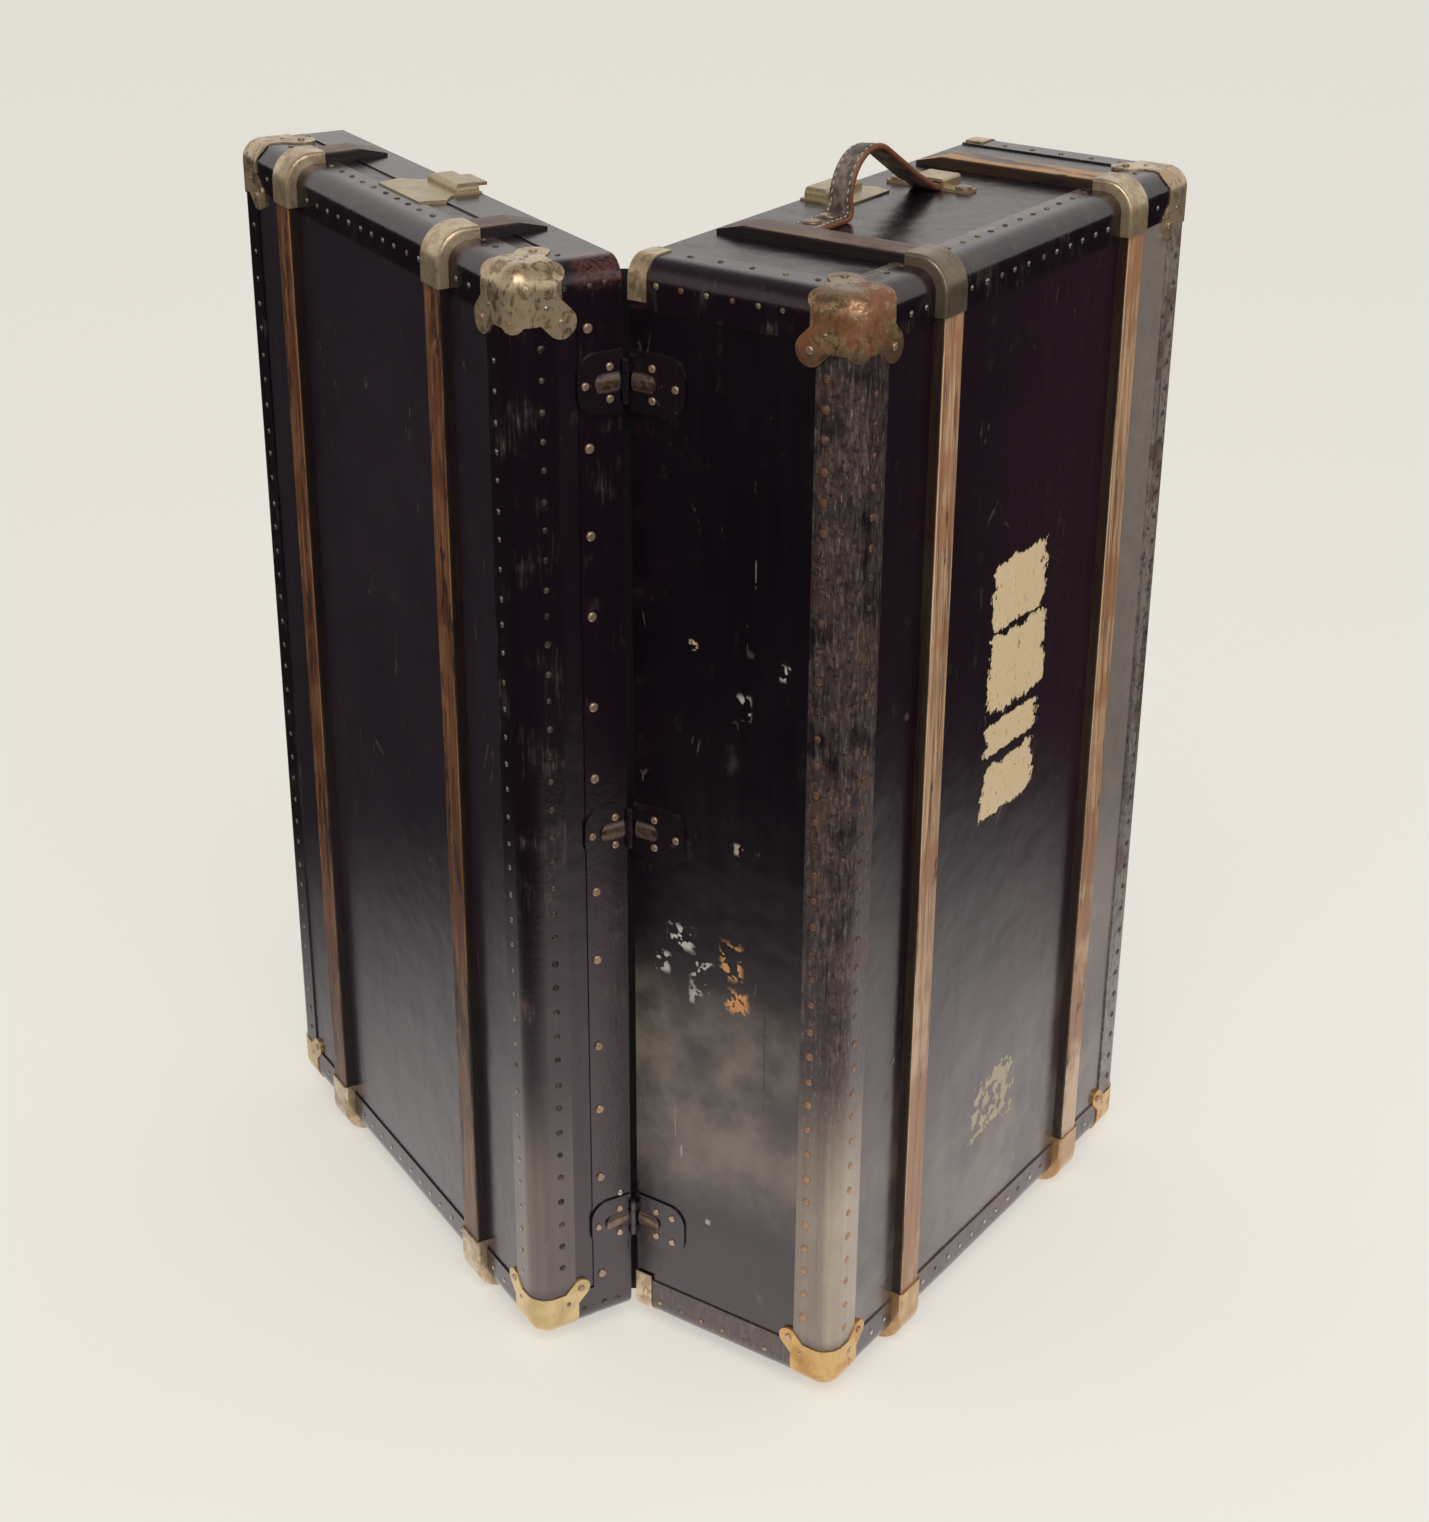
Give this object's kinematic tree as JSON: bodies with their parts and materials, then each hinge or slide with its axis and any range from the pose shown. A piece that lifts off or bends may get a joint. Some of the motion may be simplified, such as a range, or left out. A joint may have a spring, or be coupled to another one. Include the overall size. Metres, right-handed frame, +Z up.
{
  "type": "steamer trunk",
  "caption": "Flat steamer trunk standing on one end with its hinged lid part open, with hardwood slats, clamps, corner caps, a leather end handle, a dowel catch, a hasp and spring catches.",
  "frame": {"origin": "centre of the bounding box's underside, on the floor, with the lid open at 65.6 degrees", "axes": "+Z up along the trunk's length, towards the end with the handle; +X from the base's rim towards its broad outer face; +Y from the hinge side of the base towards its lock side"},
  "size_m": [0.7054, 0.592, 0.9775],
  "materials": {
    "black_board": "black paint over canvas and board, satin, worn",
    "black_fibre": "black vulcanised fibre, satin, scuffed to brown at the edges",
    "lining_paper": "plain aged lining paper, matte",
    "slat_wood": "hardwood with worn varnish",
    "tongue_wood": "bare softwood",
    "aged_brass": "brass-plated steel, dull, with rust",
    "aged_steel": "plated steel, dull, with rust",
    "handle_leather": "worn brown leather with pale stitches"
  },
  "bodies": {
    "base": {"base_back_binding": "black_fibre", "base_back_face_slat": "slat_wood", "base_bottom_back_cap": "aged_brass", "base_bottom_back_slat": "slat_wood", "base_bottom_binding": "black_fibre", "base_bottom_clamps": "aged_steel", "base_bottom_front_cap": "aged_brass", "base_bottom_front_slat": "slat_wood", "base_end_catch": "aged_brass", "base_front_binding": "black_fibre", "base_front_face_slat": "slat_wood", "base_lining": "lining_paper", "base_lower_hinge_leaf": "aged_brass", "base_middle_hinge_leaf": "aged_brass", "base_rim_irons": "aged_brass", "base_rivets": "aged_brass", "base_shell": "black_board", "base_tongue": "tongue_wood", "base_top_back_cap": "aged_brass", "base_top_back_slat": "slat_wood", "base_top_binding": "black_fibre", "base_top_clamps": "aged_steel", "base_top_front_cap": "aged_brass", "base_top_front_slat": "slat_wood", "base_upper_hinge_leaf": "aged_brass", "catch_keepers": "aged_brass", "handle_loop": "aged_steel", "handle_strap": "handle_leather", "hinge_pins": "aged_steel", "lock_plate": "aged_brass"},
    "lid": {"catch_plates": "aged_brass", "hasp_plate": "aged_brass", "lid_back_binding": "black_fibre", "lid_back_face_slat": "slat_wood", "lid_bottom_back_cap": "aged_brass", "lid_bottom_back_slat": "slat_wood", "lid_bottom_binding": "black_fibre", "lid_bottom_clamps": "aged_steel", "lid_bottom_front_cap": "aged_brass", "lid_bottom_front_slat": "slat_wood", "lid_end_catch": "aged_brass", "lid_front_binding": "black_fibre", "lid_front_face_slat": "slat_wood", "lid_lining": "lining_paper", "lid_lower_hinge_leaf": "aged_brass", "lid_middle_hinge_leaf": "aged_brass", "lid_rim_band": "black_fibre", "lid_rivets": "aged_brass", "lid_shell": "black_board", "lid_top_back_cap": "aged_brass", "lid_top_back_slat": "slat_wood", "lid_top_binding": "black_fibre", "lid_top_clamps": "aged_steel", "lid_top_front_cap": "aged_brass", "lid_top_front_slat": "slat_wood", "lid_upper_hinge_leaf": "aged_brass"},
    "hasp": {"hasp": "aged_brass"},
    "lower_catch": {"lower_catch": "aged_brass"},
    "upper_catch": {"upper_catch": "aged_brass"}
  },
  "joints": [
    {"name": "lid_hinge", "type": "hinge", "parent": "base", "child": "lid", "pos_m": [0.14723, -0.21919, 0.4675], "axis": [0, 0, 1], "range_deg": [-65.6, 114.4]},
    {"name": "hasp_hinge", "type": "hinge", "parent": "lid", "child": "hasp", "pos_m": [-0.3297, -0.01327, 0.4675], "axis": [0, 0, 1], "range_deg": [0, 185]},
    {"name": "lower_catch_hinge", "type": "hinge", "parent": "lid", "child": "lower_catch", "pos_m": [-0.3297, -0.01327, 0.2005], "axis": [0, 0, 1], "range_deg": [0, 185]},
    {"name": "upper_catch_hinge", "type": "hinge", "parent": "lid", "child": "upper_catch", "pos_m": [-0.3297, -0.01327, 0.7345], "axis": [0, 0, 1], "range_deg": [0, 185]}
  ]
}
